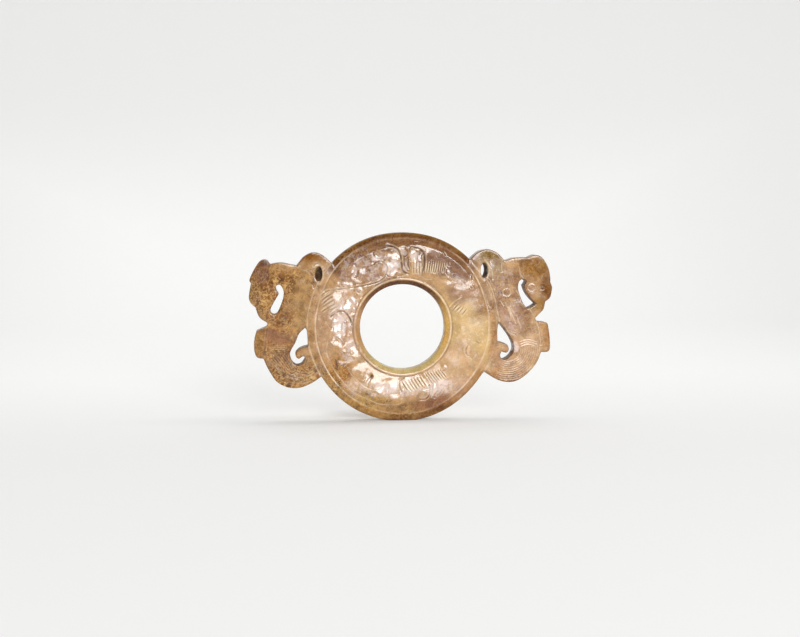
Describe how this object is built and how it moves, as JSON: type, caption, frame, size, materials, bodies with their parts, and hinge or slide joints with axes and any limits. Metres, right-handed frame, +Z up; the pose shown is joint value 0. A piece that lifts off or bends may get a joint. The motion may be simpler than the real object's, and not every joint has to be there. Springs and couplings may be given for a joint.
{
  "type": "ring pendant",
  "caption": "Flat carved jade ring with a wide central bore, flanked by openwork creatures that each have a suspension hole in the shoulder.",
  "frame": {"origin": "centre of the small flat foot ground on the lowest point of the ring's rim, midway through the thickness", "axes": "+X across the width towards the right-hand creature as seen from the front, +Y through the thickness towards the back, +Z up"},
  "size_m": [0.0896, 0.0068, 0.0557],
  "materials": {
    "jade": "polished honey-brown jade with russet mottling and pale veins"
  },
  "bodies": {
    "root": {"carved_pendant": "jade"}
  },
  "joints": []
}
